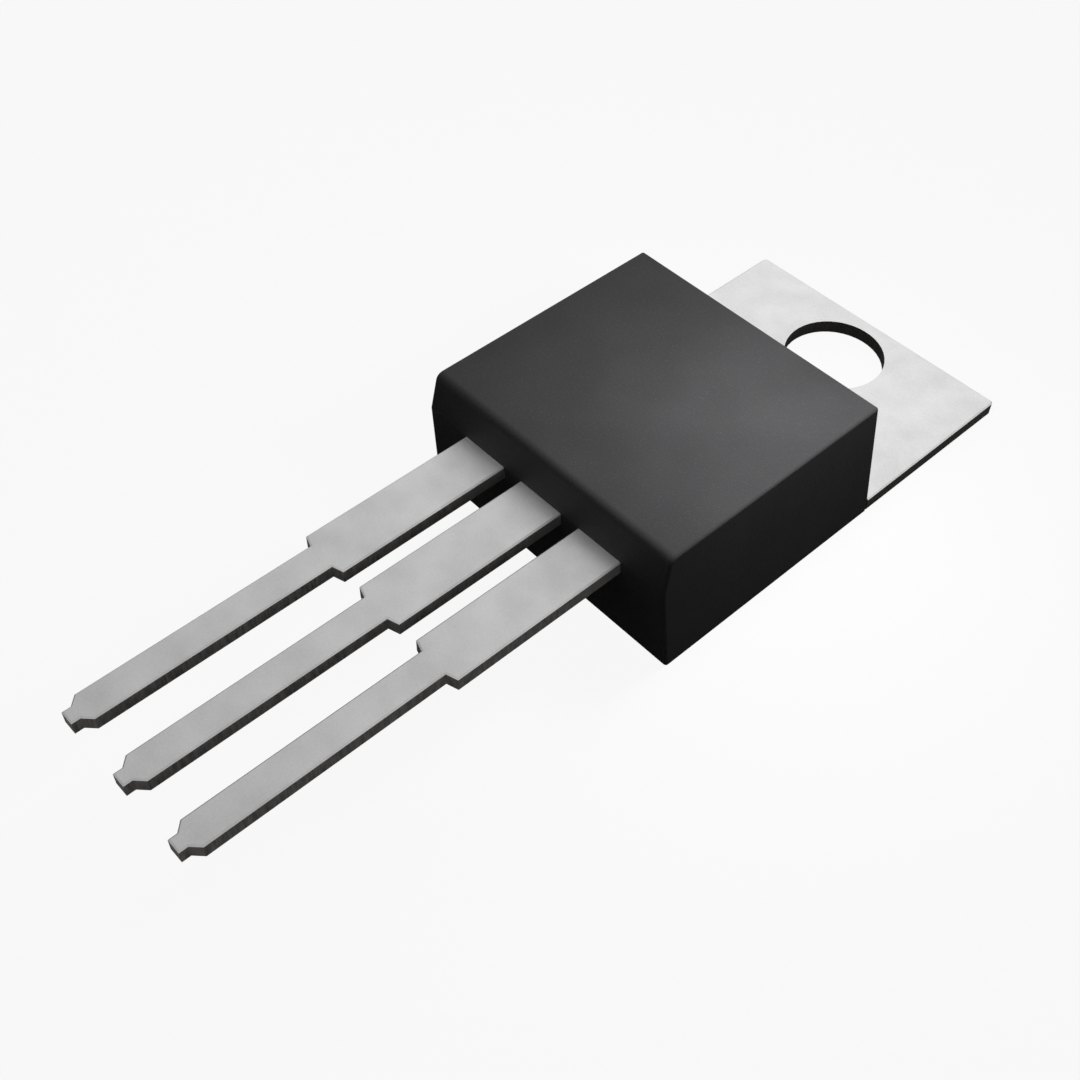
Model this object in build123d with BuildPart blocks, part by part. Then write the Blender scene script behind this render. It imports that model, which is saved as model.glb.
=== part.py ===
"""Three-lead power transistor in a flat moulded package with a drilled heat tab.

One stamped and bent strip makes the tab, the pad under the mould and the middle lead.
The two side leads end inside the mould in bond posts. The chip is soldered to the pad,
and arched wires join it to the posts. The black mould closes round all of these.

Frame: the origin is the centre of the mounting hole on the back face, +Z points away
from the back, +Y points to the free end of the tab, and the leads run towards -Y.
"""

import os
from math import atan2, degrees, hypot, radians, tan

from build123d import *

# Stamped strip, one gauge for the tab and for all three leads. The punch rolls its front edges.
sheet = 0.5
roll_edge = 0.05

# Tab and the pad inside the mould
tab_width = 10.66
tab_end = 2.3
tab_corner = 0.15
hole_diameter = 3.6
pad_width = 8.4
pad_end = 10.0
lock_notch = 0.45
lock_notch_from_face = 1.1

# Mould
body_width = 10.7
body_face = 4.63
body_length = 9.5
body_height = 4.78
side_draft = 3.0
face_draft = 5.6
ridge_out = 0.3
top_setback = 0.25
edge_radius = 0.1
lead_edge_radius = 0.3

# Leads outside the mould
lead_pitch = 2.54
lead_rise = 2.93
wide_width = 1.8
narrow_width = 1.04
wide_length = 6.15
shoulder_length = 0.12
lead_length = 14.62
tip_chamfer = 0.27
stub_length = 0.28

# Middle lead, where it climbs from the pad to the plane of the side leads
riser_run = 2.3
riser_start = 0.3
bend_radius = 0.75

# Bond posts on the inner ends of the side leads
post_width = 2.6
post_length = 2.0
post_gap = 0.45
stem_length = 1.2
lock_hole = 0.7

# Chip and its solder
chip_width = 4.4
chip_length = 3.4
chip_height = 0.3
chip_centre = 7.3
solder_height = 0.06
solder_margin = 0.15

# Bond wires. A foot's height, length and width are shares of its wire's diameter, and the
# peak of the loop is a share of its span.
source_wire_size = 0.38
gate_wire_size = 0.2
source_pad_offset = 1.1
gate_pad_offset = 1.6
foot_from_post_end = 0.25
foot_height = 0.4
foot_length = 2.2
foot_spread = 1.25
loop_rise = 0.5
loop_peak = 0.6
foot_bend = 0.4
peak_bend = 0.9

# Places that follow from the sizes above
base_lead_side = -(body_face + body_length)
ridge = base_lead_side - ridge_out
top_lead_side = ridge + top_setback
top_tab_side = -body_face - (body_height - sheet) * tan(radians(face_draft))
top_width = body_width - 2 * body_height * tan(radians(side_draft))
lead_top = lead_rise + sheet
wide_end = ridge - wide_length
narrow_start = wide_end - shoulder_length
lead_tip = ridge - lead_length
post_front = ridge + stem_length
post_inner = post_front + post_length
post_near = wide_width / 2 + post_gap - lead_pitch
post_far = post_near + post_width
chip_base = sheet + solder_height
chip_top = chip_base + chip_height


def lead_edge():
    """Points down the right edge of a lead, from the mould's ridge to the stub at its tip."""
    half_wide = wide_width / 2
    half_narrow = narrow_width / 2
    half_stub = half_narrow - tip_chamfer
    stub_start = lead_tip + stub_length
    return [
        (half_wide, ridge),
        (half_wide, wide_end),
        (half_narrow, narrow_start),
        (half_narrow, stub_start + tip_chamfer),
        (half_stub, stub_start),
        (half_stub, lead_tip),
    ]


def other_edge(points):
    """The same points on the other side of the centre line, in reverse order."""
    return [(-x, y) for x, y in reversed(points)]


# Strip of the tab, pad and middle lead: its bent section, cut to its plan outline
tab_half = tab_width / 2
pad_half = pad_width / 2
with BuildPart() as heat_tab:
    with BuildSketch(Plane.YZ):
        with BuildLine():
            FilletPolyline(
                (tab_end, sheet / 2),
                (-pad_end - riser_start, sheet / 2),
                (-pad_end - riser_start - riser_run, lead_rise + sheet / 2),
                (lead_tip, lead_rise + sheet / 2),
                radius=bend_radius,
            )
        trace(line_width=sheet)
    extrude(amount=tab_half, both=True)
    with BuildSketch() as plan:
        with BuildLine():
            right_edge = [
                (tab_half, tab_end),
                (tab_half, -body_face),
                (pad_half, -body_face),
                (pad_half, -pad_end),
                (wide_width / 2, -pad_end),
                *lead_edge(),
            ]
            Polyline(*right_edge, *other_edge(right_edge), close=True)
        make_face()
        fillet(plan.vertices().group_by(Axis.Y)[-1], radius=tab_corner)
        notch = -body_face - lock_notch_from_face
        with Locations((pad_half, notch), (-pad_half, notch)):
            Circle(lock_notch, mode=Mode.SUBTRACT)
        Circle(hole_diameter / 2, mode=Mode.SUBTRACT)
    extrude(amount=body_height, mode=Mode.INTERSECT)
    tab_rim = heat_tab.edges().filter_by_position(Axis.Z, sheet, sheet)
    lead_rim = heat_tab.edges().group_by(Axis.Z)[-1]
    rolled = [
        *tab_rim.filter_by(lambda edge: edge.center().Y > -body_face),
        *lead_rim.filter_by(lambda edge: edge.center().Y < ridge),
    ]
    chamfer(rolled, length=roll_edge)
heat_tab.part.label = "heat_tab"


def side_lead(side, name):
    """A flat side lead with its bond post. Side is 1 to the right of the middle lead."""
    outer = lead_edge()
    outline = [
        *other_edge(outer),
        (-wide_width / 2, post_front),
        (post_near, post_front),
        (post_near, post_inner),
        (post_far, post_inner),
        (post_far, post_front),
        (wide_width / 2, post_front),
        *outer,
    ]
    with BuildPart() as lead:
        with BuildSketch(Plane(origin=(side * lead_pitch, 0, lead_rise))):
            with BuildLine():
                Polyline(*[(side * x, y) for x, y in outline], close=True)
            make_face()
            with Locations((0, ridge + stem_length / 2)):
                Circle(lock_hole / 2, mode=Mode.SUBTRACT)
        extrude(amount=sheet)
        front_rim = lead.edges().group_by(Axis.Z)[-1]
        chamfer(front_rim.filter_by(lambda edge: edge.center().Y < ridge), length=roll_edge)
    lead.part.label = name
    return lead.part


gate_lead = side_lead(-1, "gate_lead")
source_lead = side_lead(1, "source_lead")

# Solder under the chip, a little larger than the chip all round
with BuildPart() as chip_solder:
    with BuildSketch(Plane.XY.offset(sheet)):
        with Locations((0, -chip_centre)):
            Rectangle(chip_width + 2 * solder_margin, chip_length + 2 * solder_margin)
    extrude(amount=solder_height)
chip_solder.part.label = "chip_solder"

with BuildPart() as silicon_chip:
    with BuildSketch(Plane.XY.offset(chip_base)):
        with Locations((0, -chip_centre)):
            Rectangle(chip_width, chip_length)
    extrude(amount=chip_height)
silicon_chip.part.label = "silicon_chip"


def bond_wire(side, size, pad_offset, lead, name):
    """An arched wire from the chip to a side lead's post, with a pressed foot at each end."""
    foot = foot_length * size
    middle = foot_height * size
    post_x = side * (lead_pitch + (post_near + post_far) / 2)
    start = Vector(side * pad_offset, -chip_centre, 0)
    end = Vector(post_x, post_inner - foot_from_post_end - foot, 0)
    span = hypot(end.X - start.X, end.Y - start.Y)
    upright = Plane(origin=start, x_dir=end - start, z_dir=(end - start).cross(Vector(0, 0, 1)))
    with BuildPart() as wire:
        with BuildLine(upright) as route:
            FilletPolyline(
                (0, chip_top + middle),
                (foot, chip_top + middle),
                (span * loop_peak, lead_top + loop_rise),
                (span - foot, lead_top + middle),
                (span, lead_top + middle),
                radius=[foot_bend, peak_bend, foot_bend],
            )
        with BuildSketch(Plane(origin=route.line @ 0, z_dir=route.line % 0)):
            Circle(size / 2)
        sweep(path=route.line)
        turn = degrees(atan2(end.Y - start.Y, end.X - start.X))
        for along, surface in ((foot / 2, chip_top), (span - foot / 2, lead_top)):
            with Locations(Location(upright.from_local_coords((along, surface, 0)), (0, 0, turn))):
                bottom = (Align.CENTER, Align.CENTER, Align.MIN)
                Box(foot, foot_spread * size, middle, align=bottom)
        add(silicon_chip.part, mode=Mode.SUBTRACT)
        add(lead, mode=Mode.SUBTRACT)
    wire.part.label = name
    return wire.part


gate_wire = bond_wire(-1, gate_wire_size, gate_pad_offset, gate_lead, "gate_wire")
source_wire = bond_wire(1, source_wire_size, source_pad_offset, source_lead, "source_wire")
inner_pieces = [
    heat_tab.part,
    gate_lead,
    source_lead,
    chip_solder.part,
    silicon_chip.part,
    gate_wire,
    source_wire,
]

# Mould: its long section cut to its tapered end view, then closed round the inner pieces
with BuildPart() as moulded_body:
    with BuildSketch(Plane.YZ):
        with BuildLine():
            Polyline(
                (-body_face, 0),
                (-body_face, sheet),
                (top_tab_side, body_height),
                (top_lead_side, body_height),
                (ridge, lead_top),
                (base_lead_side, 0),
                close=True,
            )
        make_face()
    extrude(amount=body_width / 2, both=True)
    with BuildSketch(Plane.XZ):
        with BuildLine():
            Polyline(
                (-body_width / 2, 0),
                (body_width / 2, 0),
                (top_width / 2, body_height),
                (-top_width / 2, body_height),
                close=True,
            )
        make_face()
    extrude(amount=-ridge, mode=Mode.INTERSECT)
    across_the_leads = moulded_body.edges().group_by(Axis.Z)[-1].sort_by(Axis.Y)[0]
    fillet(across_the_leads, radius=lead_edge_radius)
    other_top_edges = moulded_body.edges().group_by(Axis.Z)[-1].sort_by(Axis.Y)[1:]
    straight = moulded_body.edges().filter_by(GeomType.LINE)
    upright = straight.filter_by(lambda edge: edge.bounding_box().size.Z > sheet / 2)
    fillet([*other_top_edges, *upright], radius=edge_radius)
    for piece in inner_pieces:
        add(piece, mode=Mode.SUBTRACT)
moulded_body.part.label = "moulded_body"

os.makedirs("parts", exist_ok=True)
for piece in (*inner_pieces, moulded_body.part):
    export_step(piece, f"parts/{piece.label}.step")
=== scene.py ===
"""Looks of the field-effect transistor: the finish of every piece, and a plain pale stage."""

import math

import bpy
from bpy.props import FloatProperty, FloatVectorProperty, PointerProperty
from mathutils import Matrix, Vector


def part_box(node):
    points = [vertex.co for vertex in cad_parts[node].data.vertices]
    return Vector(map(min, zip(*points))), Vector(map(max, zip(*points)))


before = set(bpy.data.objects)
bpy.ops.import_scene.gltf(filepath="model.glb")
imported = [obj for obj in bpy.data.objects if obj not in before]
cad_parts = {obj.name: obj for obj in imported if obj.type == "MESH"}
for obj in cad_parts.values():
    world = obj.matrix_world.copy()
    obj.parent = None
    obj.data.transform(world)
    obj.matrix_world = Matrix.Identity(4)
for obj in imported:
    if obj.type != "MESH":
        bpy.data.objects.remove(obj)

bl_info = {
    "name": "Field-effect transistor",
    "version": (1, 0, 0),
    "blender": (4, 5, 0),
    "location": "View3D > Sidebar > Transistor",
    "description": "Finishes a power transistor in a flat moulded package and sets its stage",
    "category": "Object",
}

MM = 0.001
STRIP_NODES = ("heat_tab", "gate_lead", "source_lead")
WIRE_NODES = ("gate_wire", "source_wire")

# Range in which most values of a noise lie
MOST_OF_NOISE = {"From Min": 0.3, "From Max": 0.7}

# Places taken from the frame
mould_low, mould_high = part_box("moulded_body")
MOULD_CENTRE = (mould_low + mould_high) / 2
LEAD_EXIT = mould_low.y
LEAD_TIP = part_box("source_lead")[0].y

# Camera: the point that the photograph's camera looks at
AIM_POINT = Vector((-0.66, -13.78, 0.36)) * MM

# Key lamp: a small soft box above the right side of the mould. Radiance 1 is white.
KEY_PLACE = Vector((5, -7.5, 12.5)) * MM
KEY_SIZE = 4 * MM
KEY_RADIANCE = 29.5

# Window: low light from behind and the left. It starts and is full at these nearnesses to its
# middle, where 1 is the middle itself.
WINDOW_SIDE = (-0.7, 0.7, 0.15)
WINDOW_START = 0.6
WINDOW_FULL = 0.9

# Floor: a square card. Part of what the camera sees of it is plain white, so that shadows stay
# light, and all of it is from the end of the fade outwards.
FLOOR_HALF = 600 * MM
FLOOR_DROP = 0.02 * MM
WHITE_SHARE = 0.92
FADE_CENTRE = (0, (mould_high.y + LEAD_TIP) / 2, 0)
FADE_START = 5 * MM
FADE_END = 80 * MM


def linear(hex_colour):
    """An sRGB hex colour as linear red, green and blue."""
    channels = (int(hex_colour[i : i + 2], 16) / 255 for i in (1, 3, 5))
    return tuple(c / 12.92 if c <= 0.04045 else ((c + 0.055) / 1.055) ** 2.4 for c in channels)


def colour_property(name, description, hex_colour):
    """A colour that a user can change, with its default as an sRGB hex value."""
    return FloatVectorProperty(
        name=name,
        description=description,
        subtype="COLOR",
        size=3,
        min=0.0,
        max=1.0,
        default=linear(hex_colour),
    )


def length_property(name, description, millimetres):
    """A length that a user can change, with its default in millimetres."""
    return FloatProperty(
        name=name, description=description, unit="LENGTH", min=0.0, default=millimetres * MM
    )


class MouldSettings(bpy.types.PropertyGroup):
    """Finish of the black moulded body."""

    colour: colour_property("Colour", "Colour of the epoxy moulding compound", "#3d3d3e")
    speck_colour: colour_property("Specks", "Colour of the silica filler where it shows", "#4c4c4d")
    grain: length_property("Grain", "Width of one grain of the spark-eroded mould's texture", 0.09)
    grain_height: length_property("Grain height", "Height of the texture", 0.006)
    roughness: FloatProperty(
        name="Roughness", description="Spread of the reflection", min=0, max=1, default=0.55
    )


class StripSettings(bpy.types.PropertyGroup):
    """Finish of the stamped strip: the tab and the leads."""

    tab_colour: colour_property("Tab", "Colour of the tin plate on the tab", "#e3e3e3")
    # The leads are coloured lighter by the mould and darker at the tips: a painted highlight on the
    # tin.
    lead_highlight_colour: colour_property("Leads", "Colour of the dipped tin by the mould", "#c7c7c7")
    tip_colour: colour_property("Lead tips", "Colour of the duller tin on the tips", "#afafaf")
    # The edges' colours are painted shade: darker than the plate, and darkest on the tab's edges and
    # hole.
    edge_and_shade_colour: colour_property("Edges", "Colour of the sheared edges, thinly plated", "#8f8d8b")
    tab_edge_and_shade_colour: colour_property("Tab edges", "Colour of the tab's edges and hole", "#555351")
    grain: length_property("Grain", "Width of one crystal of the matte plate", 0.07)
    roll_line: length_property("Rolling lines", "Spacing of the lines that rolling leaves", 0.12)
    tear: length_property("Tear", "Width of one tear in the fracture of a sheared edge", 0.08)


class StageSettings(bpy.types.PropertyGroup):
    """Camera, floor and daylight."""

    azimuth: FloatProperty(
        name="Azimuth",
        description="Turn of the camera about the upright axis, from looking along +Y",
        subtype="ANGLE",
        default=math.radians(46.7),
    )
    elevation: FloatProperty(
        name="Elevation",
        description="Angle of the camera above the floor",
        subtype="ANGLE",
        default=math.radians(49.4),
    )
    roll: FloatProperty(
        name="Roll", description="Tilt of the frame", subtype="ANGLE", default=math.radians(1.1)
    )
    distance: length_property("Distance", "From the camera to the point it looks at", 46.2)
    lens: FloatProperty(name="Lens", description="Focal length in mm", min=10, default=48.0)
    floor_colour: colour_property("Floor", "Colour of the floor", "#f7f7f6")
    bounce_colour: colour_property("Bounce", "Colour of the floor in the light it sends up", "#454545")
    daylight: FloatProperty(
        name="Daylight", description="Strength of the even light all round", min=0, default=0.07
    )
    window: FloatProperty(
        name="Window", description="Strength of the low light from the back", min=0, default=1.4
    )


def add_node(tree, kind, inputs=None, **settings):
    """Adds a node with its settings and links.

    An input is named, or numbered among those that the settings leave in use. It is given a value,
    an output to link, or a node, whose first output in use is linked.
    """
    made = tree.nodes.new("ShaderNode" + kind)
    for name, value in settings.items():
        setattr(made, name, value)
    used = [socket for socket in made.inputs if socket.enabled]
    for name, value in (inputs or {}).items():
        socket = used[name] if isinstance(name, int) else next(s for s in used if s.name == name)
        if isinstance(value, bpy.types.Node):
            value = next(output for output in value.outputs if output.enabled)
        if isinstance(value, bpy.types.NodeSocket):
            tree.links.new(value, socket)
        else:
            socket.default_value = value
    return made


def new_material(name):
    """An empty material and its node tree."""
    material = bpy.data.materials.new(name)
    material.use_nodes = True
    material.node_tree.nodes.clear()
    return material, material.node_tree


def opaque(colour):
    """A colour with an alpha of 1."""
    return (*colour, 1.0)


def epoxy_moulding_compound(mould):
    """Black epoxy moulding compound, filled with silica and moulded in a spark-eroded cavity.

    The cavity's texture makes it matte with a fine even grain, filler shows as faint specks, and
    the melt's flow leaves it a little darker and lighter in wide clouds.
    """
    speck_width = 0.5 * mould.grain
    speck_start, speck_full = 0.62, 0.78
    flow_width = 3.0 * MM
    roughness_change = 0.05
    material, tree = new_material("Epoxy moulding compound")
    place = add_node(tree, "TexCoord").outputs["Object"]

    filler = add_node(tree, "TexNoise", {"Vector": place, "Scale": 1 / speck_width, "Detail": 1.0})
    specks = add_node(
        tree, "MapRange", {"Value": filler, "From Min": speck_start, "From Max": speck_full}
    )
    colours = {"A": opaque(mould.colour), "B": opaque(mould.speck_colour)}
    speckled = add_node(tree, "Mix", {"Factor": specks, **colours}, data_type="RGBA")
    cloud = add_node(tree, "TexNoise", {"Vector": place, "Scale": 1 / flow_width})
    flow = add_node(
        tree,
        "MapRange",
        {"Value": cloud, "From Min": 0.35, "From Max": 0.65, "To Min": 0.92, "To Max": 1.08},
    )
    colour = add_node(tree, "VectorMath", {0: speckled, "Scale": flow}, operation="SCALE")

    grain = add_node(
        tree,
        "TexNoise",
        {"Vector": place, "Scale": 1 / mould.grain, "Detail": 3.0, "Roughness": 0.6},
    )
    rough, smooth = mould.roughness + roughness_change, mould.roughness - roughness_change
    roughness = add_node(
        tree, "MapRange", {"Value": grain, **MOST_OF_NOISE, "To Min": rough, "To Max": smooth}
    )
    relief = add_node(tree, "Bump", {"Height": grain, "Distance": mould.grain_height})
    surface = add_node(
        tree,
        "BsdfPrincipled",
        {
            "Base Color": colour,
            "Roughness": roughness,
            "IOR": 1.5,
            "Specular IOR Level": 0.1,
            "Normal": relief,
        },
    )
    add_node(tree, "OutputMaterial", {"Surface": surface})
    return material


def sheared_edges(tree, normal):
    """1 on the strip's upright edges and 0 on its flat faces, by how upright the normal is."""
    face_end, edge_start = 0.75, 0.35
    height = add_node(tree, "SeparateXYZ", {"Vector": normal}).outputs["Z"]
    upright = add_node(tree, "Math", {0: height}, operation="ABSOLUTE")
    return add_node(
        tree, "MapRange", {"Value": upright, "From Min": face_end, "From Max": edge_start}
    )


def strip_colour(tree, strip, place, tone, edge):
    """Colour of the strip: its plate, lighter and darker by tone, and the edges, darker as painted
    shade.

    The leads were dipped from their tips to a line just inside the mould. Their tin is lighter
    by the mould and darker towards the tips: a painted highlight.
    """
    dip_line = LEAD_EXIT + 1.0 * MM
    along = add_node(tree, "SeparateXYZ", {"Vector": place}).outputs["Y"]
    # Painted highlight: lighter tin by the mould, darker towards the tips.
    out = add_node(tree, "MapRange", {"Value": along, "From Min": LEAD_EXIT, "From Max": LEAD_TIP})
    tins = {"A": opaque(strip.lead_highlight_colour), "B": opaque(strip.tip_colour)}
    tin_with_painted_highlight = add_node(tree, "Mix", {"Factor": out, **tins}, data_type="RGBA")
    dipped = add_node(
        tree, "MapRange", {"Value": along, "From Min": dip_line, "From Max": LEAD_EXIT}
    )
    plate = add_node(
        tree, "Mix", {"Factor": dipped, "A": opaque(strip.tab_colour), "B": tin_with_painted_highlight}, data_type="RGBA"
    )
    toned = add_node(tree, "VectorMath", {0: plate, "Scale": tone}, operation="SCALE")
    # Painted shade on the sheared edges, darkest round the tab and its hole.
    edges = {"A": opaque(strip.tab_edge_and_shade_colour), "B": opaque(strip.edge_and_shade_colour)}
    sheared = add_node(tree, "Mix", {"Factor": dipped, **edges}, data_type="RGBA")
    return add_node(tree, "Mix", {"Factor": edge, "A": toned, "B": sheared}, data_type="RGBA")


def tin_plate(strip):
    """Matte tin plate on stamped copper, dipped again on the leads.

    The plate has a fine crystal grain, faint lines along the rolled strip and uneven gloss. Both
    the grain and the lines are drawn several times coarser than the real ones, so that they show.
    The sheared edges are rougher, with the fracture's upright tears under a thin plate. Their
    colour is darker as painted shade, darkest round the tab and its hole. Object normals tell an
    edge from a face.
    """
    cloud_width = 1.2 * MM
    crystal_height = 0.004 * MM
    line_height = 0.002 * MM
    tear_height = 0.02 * MM
    along_strip, through_strip = (1, 0.02, 1), (1, 1, 0.15)
    material, tree = new_material("Matte tin plate")
    coordinates = add_node(tree, "TexCoord").outputs
    place = coordinates["Object"]
    edge = sheared_edges(tree, coordinates["Normal"])

    crystal = add_node(
        tree,
        "TexNoise",
        {"Vector": place, "Scale": 1 / strip.grain, "Detail": 3.0, "Roughness": 0.65},
    )
    cloud = add_node(tree, "TexNoise", {"Vector": place, "Scale": 1 / cloud_width, "Detail": 3.0})
    rolled = add_node(tree, "Mapping", {"Vector": place, "Scale": along_strip})
    lines = add_node(tree, "TexNoise", {"Vector": rolled, "Scale": 1 / strip.roll_line})
    upright = add_node(tree, "Mapping", {"Vector": place, "Scale": through_strip})
    torn = add_node(tree, "TexNoise", {"Vector": upright, "Scale": 1 / strip.tear})

    crystal_tone = add_node(
        tree,
        "MapRange",
        {"Value": crystal, "From Min": 0.25, "From Max": 0.75, "To Min": -0.07, "To Max": 0.05},
    )
    cloud_tone = add_node(
        tree, "MapRange", {"Value": cloud, **MOST_OF_NOISE, "To Min": 0.93, "To Max": 1.03}
    )
    tone = add_node(tree, "Math", {0: crystal_tone, 1: cloud_tone}, operation="ADD")

    face_roughness = add_node(
        tree, "MapRange", {"Value": cloud, **MOST_OF_NOISE, "To Min": 0.5, "To Max": 0.38}
    )
    edge_roughness = add_node(
        tree, "MapRange", {"Value": torn, **MOST_OF_NOISE, "To Min": 0.5, "To Max": 0.65}
    )
    roughness = add_node(
        tree, "MapRange", {"Value": edge, "To Min": face_roughness, "To Max": edge_roughness}
    )
    tear_depth = add_node(tree, "MapRange", {"Value": edge, "To Max": tear_height})
    grainy = add_node(tree, "Bump", {"Height": crystal, "Distance": crystal_height})
    lined = add_node(tree, "Bump", {"Height": lines, "Distance": line_height, "Normal": grainy})
    relief = add_node(tree, "Bump", {"Height": torn, "Distance": tear_depth, "Normal": lined})
    surface = add_node(
        tree,
        "BsdfPrincipled",
        {
            "Base Color": strip_colour(tree, strip, place, tone, edge),
            "Metallic": 1.0,
            "Roughness": roughness,
            "Normal": relief,
        },
    )
    add_node(tree, "OutputMaterial", {"Surface": surface})
    return material


def polished_silicon():
    """Silicon wafer, sawn and polished: dark, smooth and slightly blue."""
    cloud_width = 0.8 * MM
    material, tree = new_material("Polished silicon")
    place = add_node(tree, "TexCoord").outputs["Object"]
    cloud = add_node(tree, "TexNoise", {"Vector": place, "Scale": 1 / cloud_width})
    tones = {"A": opaque(linear("#3b3f4a")), "B": opaque(linear("#474b57"))}
    colour = add_node(tree, "Mix", {"Factor": cloud, **tones}, data_type="RGBA")
    surface = add_node(
        tree, "BsdfPrincipled", {"Base Color": colour, "Metallic": 0.6, "Roughness": 0.15}
    )
    add_node(tree, "OutputMaterial", {"Surface": surface})
    return material


def soft_solder():
    """Tin solder, melted under the chip: grey and a little grainy."""
    grain_width = 0.15 * MM
    grain_height = 0.01 * MM
    material, tree = new_material("Soft solder")
    place = add_node(tree, "TexCoord").outputs["Object"]
    grain = add_node(tree, "TexNoise", {"Vector": place, "Scale": 1 / grain_width})
    tones = {"A": opaque(linear("#8f9092")), "B": opaque(linear("#b0b1b2"))}
    colour = add_node(tree, "Mix", {"Factor": grain, **tones}, data_type="RGBA")
    relief = add_node(tree, "Bump", {"Height": grain, "Distance": grain_height})
    surface = add_node(
        tree,
        "BsdfPrincipled",
        {"Base Color": colour, "Metallic": 1.0, "Roughness": 0.4, "Normal": relief},
    )
    add_node(tree, "OutputMaterial", {"Surface": surface})
    return material


def drawn_aluminium():
    """Aluminium wire, drawn through a die: bright, with faint lines."""
    line_width = 0.04 * MM
    along_wire = (1, 0.05, 1)
    material, tree = new_material("Drawn aluminium")
    place = add_node(tree, "TexCoord").outputs["Object"]
    drawn = add_node(tree, "Mapping", {"Vector": place, "Scale": along_wire})
    lines = add_node(tree, "TexNoise", {"Vector": drawn, "Scale": 1 / line_width})
    tones = {"A": opaque(linear("#cfd0d1")), "B": opaque(linear("#e2e2e2"))}
    colour = add_node(tree, "Mix", {"Factor": lines, **tones}, data_type="RGBA")
    surface = add_node(
        tree, "BsdfPrincipled", {"Base Color": colour, "Metallic": 1.0, "Roughness": 0.3}
    )
    add_node(tree, "OutputMaterial", {"Surface": surface})
    return material


def finish_nodes(names, material):
    """Gives the named CAD nodes their material."""
    for name in names:
        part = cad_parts[name]
        part.data.materials.clear()
        part.data.materials.append(material)


class TRANSISTOR_OT_mould(bpy.types.Operator):
    """Gives the moulded body its matte black finish"""

    bl_idname = "transistor.mould"
    bl_label = "Finish the moulded body"

    def execute(self, context):
        material = epoxy_moulding_compound(context.scene.transistor_mould)
        finish_nodes(["moulded_body"], material)
        return {"FINISHED"}


class TRANSISTOR_OT_strip(bpy.types.Operator):
    """Gives the tab and the leads their matte tin plate"""

    bl_idname = "transistor.strip"
    bl_label = "Finish the tab and leads"

    def execute(self, context):
        finish_nodes(STRIP_NODES, tin_plate(context.scene.transistor_strip))
        return {"FINISHED"}


class TRANSISTOR_OT_inside(bpy.types.Operator):
    """Gives the chip, its solder and the bond wires their finishes"""

    bl_idname = "transistor.inside"
    bl_label = "Finish the inner pieces"

    def execute(self, context):
        finish_nodes(["silicon_chip"], polished_silicon())
        finish_nodes(["chip_solder"], soft_solder())
        finish_nodes(WIRE_NODES, drawn_aluminium())
        return {"FINISHED"}


def seen_directly(tree):
    """1 for rays that show the background itself: camera, glossy and transmission rays."""
    rays = add_node(tree, "LightPath").outputs
    glossy, through = rays["Is Glossy Ray"], rays["Is Transmission Ray"]
    carried_on = add_node(tree, "Math", {0: glossy, 1: through}, operation="MAXIMUM")
    return add_node(tree, "Math", {0: rays["Is Camera Ray"], 1: carried_on}, operation="MAXIMUM")


def pale_floor_material(stage):
    """White card. It fades to plain white further out, and keeps the shadow near the part."""
    material, tree = new_material("Pale card")
    place = add_node(tree, "TexCoord").outputs["Object"]
    to_camera = add_node(tree, "LightPath").outputs["Is Camera Ray"]
    away = add_node(tree, "VectorMath", {0: place, 1: FADE_CENTRE}, operation="DISTANCE")
    fade = add_node(
        tree,
        "MapRange",
        {"Value": away, "From Min": FADE_START, "From Max": FADE_END},
        interpolation_type="SMOOTHERSTEP",
    )
    far = add_node(tree, "Math", {0: fade, 1: seen_directly(tree)}, operation="MULTIPLY")
    near = add_node(tree, "Math", {0: to_camera, 1: WHITE_SHARE}, operation="MULTIPLY")
    share = add_node(tree, "Math", {0: far, 1: near}, operation="MAXIMUM")
    papers = {"A": opaque(stage.bounce_colour), "B": opaque(stage.floor_colour)}
    paper = add_node(tree, "Mix", {"Factor": to_camera, **papers}, data_type="RGBA")
    card = add_node(tree, "BsdfDiffuse", {"Color": paper})
    white = add_node(tree, "Emission", {"Strength": 1.0})
    surface = add_node(tree, "MixShader", {"Fac": share, 1: card, 2: white})
    add_node(tree, "OutputMaterial", {"Surface": surface})
    return material


def add_floor(stage):
    """A square floor just under the part."""
    mesh = bpy.data.meshes.new("floor")
    signs = ((-1, -1), (1, -1), (1, 1), (-1, 1))
    corners = [(x * FLOOR_HALF, y * FLOOR_HALF, -FLOOR_DROP) for x, y in signs]
    mesh.from_pydata(corners, [], [(0, 1, 2, 3)])
    mesh.materials.append(pale_floor_material(stage))
    floor = bpy.data.objects.new("floor", mesh)
    bpy.context.scene.collection.objects.link(floor)


def add_world(stage):
    """Even light with a low window at the back. Seen directly, it is plain white."""
    world = bpy.data.worlds.new("Studio")
    bpy.context.scene.world = world
    world.use_nodes = True
    tree = world.node_tree
    tree.nodes.clear()
    sight = add_node(tree, "TexCoord").outputs["Generated"]
    nearness = add_node(tree, "VectorMath", {0: sight, 1: WINDOW_SIDE}, operation="DOT_PRODUCT")
    window = {"From Min": WINDOW_START, "From Max": WINDOW_FULL}
    brightness = {"To Min": stage.daylight, "To Max": stage.daylight + stage.window}
    light = add_node(tree, "MapRange", {"Value": nearness, **window, **brightness})
    strength = add_node(tree, "MapRange", {"Value": seen_directly(tree), "To Min": light})
    sky = add_node(tree, "Background", {"Color": opaque((1, 1, 1)), "Strength": strength})
    add_node(tree, "OutputWorld", {"Surface": sky})


def direction(azimuth, elevation):
    """Unit vector from the part towards a camera at that azimuth and elevation."""
    flat = math.cos(elevation)
    return Vector((math.sin(azimuth) * flat, -math.cos(azimuth) * flat, math.sin(elevation)))


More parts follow.
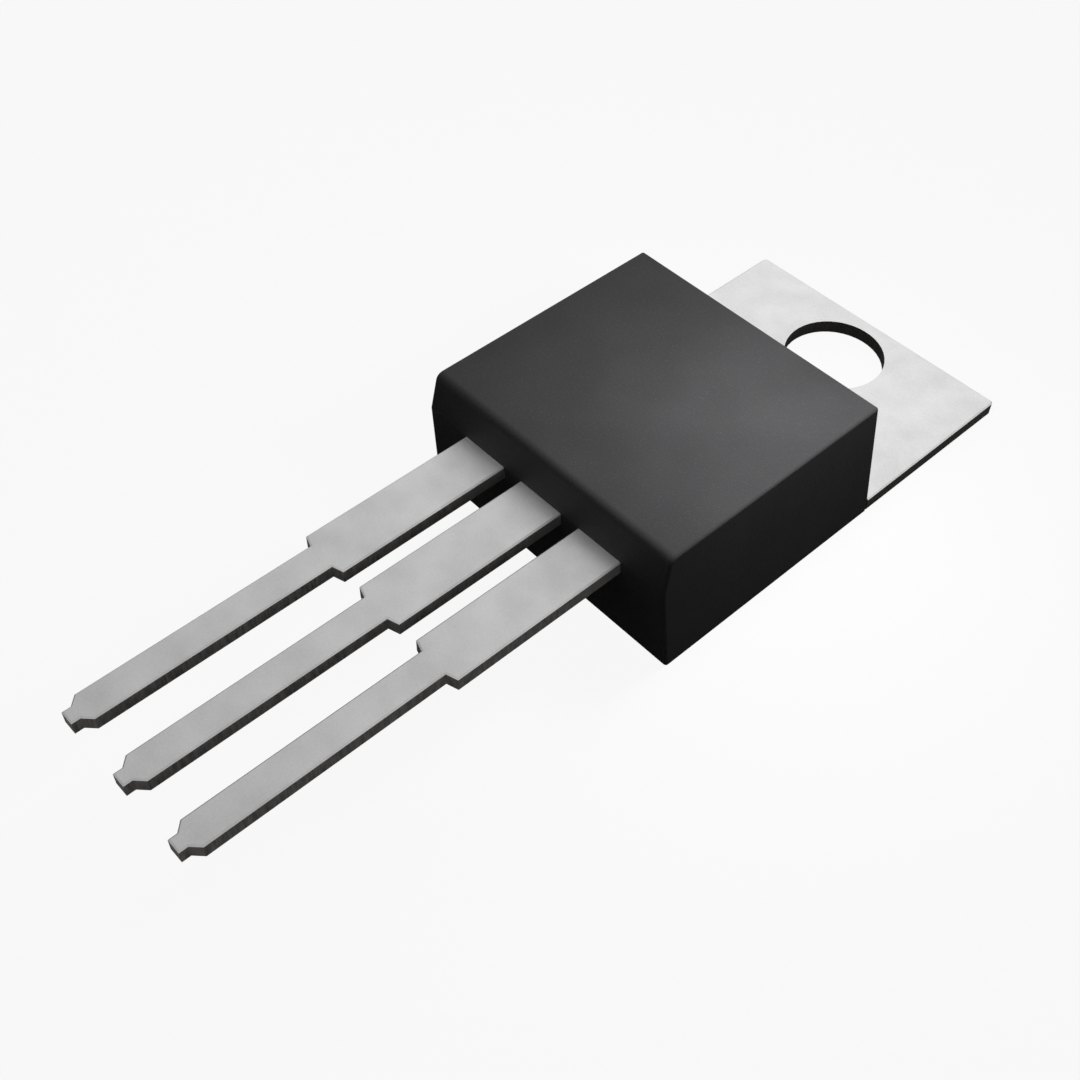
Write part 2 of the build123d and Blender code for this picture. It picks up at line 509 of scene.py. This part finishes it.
def add_key_lamp():
    """The square key lamp, which points at the mould and isn't seen or mirrored itself."""
    lamp = bpy.data.lights.new("key_softbox", "AREA")
    lamp.shape = "SQUARE"
    lamp.size = KEY_SIZE
    lamp.energy = KEY_RADIANCE * math.pi * KEY_SIZE**2
    key = bpy.data.objects.new("key_softbox", lamp)
    key.location = KEY_PLACE
    key.rotation_mode = "QUATERNION"
    key.rotation_quaternion = (key.location - MOULD_CENTRE).to_track_quat("Z", "Y")
    key.visible_camera = False
    key.visible_glossy = False
    bpy.context.scene.collection.objects.link(key)


def add_camera(stage):
    """The camera at the photograph's viewing angle."""
    data = bpy.data.cameras.new("camera")
    data.lens = stage.lens
    data.clip_start = 1 * MM
    data.clip_end = 5.0
    camera = bpy.data.objects.new("camera", data)
    back = direction(stage.azimuth, stage.elevation)
    camera.rotation_mode = "QUATERNION"
    upright = back.to_track_quat("Z", "Y")
    camera.rotation_quaternion = upright @ Matrix.Rotation(stage.roll, 4, "Z").to_quaternion()
    camera.location = AIM_POINT + back * stage.distance
    bpy.context.scene.collection.objects.link(camera)
    bpy.context.scene.camera = camera


class TRANSISTOR_OT_stage(bpy.types.Operator):
    """Adds the floor, the light and the camera"""

    bl_idname = "transistor.stage"
    bl_label = "Set the stage"

    def execute(self, context):
        stage = context.scene.transistor_stage
        add_floor(stage)
        add_world(stage)
        add_key_lamp()
        add_camera(stage)
        context.scene.view_settings.view_transform = "Standard"
        return {"FINISHED"}


class TRANSISTOR_PT_panel(bpy.types.Panel):
    """Lists the pieces and their settings"""

    bl_label = "Field-effect transistor"
    bl_idname = "TRANSISTOR_PT_panel"
    bl_space_type = "VIEW_3D"
    bl_region_type = "UI"
    bl_category = "Transistor"

    def draw(self, context):
        groups = (
            (TRANSISTOR_OT_mould, context.scene.transistor_mould),
            (TRANSISTOR_OT_strip, context.scene.transistor_strip),
            (TRANSISTOR_OT_inside, None),
            (TRANSISTOR_OT_stage, context.scene.transistor_stage),
        )
        for operator, settings in groups:
            box = self.layout.box()
            box.operator(operator.bl_idname)
            for name in settings.__annotations__ if settings else ():
                box.prop(settings, name)


CLASSES = (
    MouldSettings,
    StripSettings,
    StageSettings,
    TRANSISTOR_OT_mould,
    TRANSISTOR_OT_strip,
    TRANSISTOR_OT_inside,
    TRANSISTOR_OT_stage,
    TRANSISTOR_PT_panel,
)


def register():
    for cls in CLASSES:
        bpy.utils.register_class(cls)
    bpy.types.Scene.transistor_mould = PointerProperty(type=MouldSettings)
    bpy.types.Scene.transistor_strip = PointerProperty(type=StripSettings)
    bpy.types.Scene.transistor_stage = PointerProperty(type=StageSettings)


def unregister():
    del bpy.types.Scene.transistor_stage
    del bpy.types.Scene.transistor_strip
    del bpy.types.Scene.transistor_mould
    for cls in reversed(CLASSES):
        bpy.utils.unregister_class(cls)


def main():
    """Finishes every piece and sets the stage."""
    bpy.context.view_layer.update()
    register()
    bpy.ops.transistor.mould()
    bpy.ops.transistor.strip()
    bpy.ops.transistor.inside()
    bpy.ops.transistor.stage()


if __name__ == "__main__":
    main()
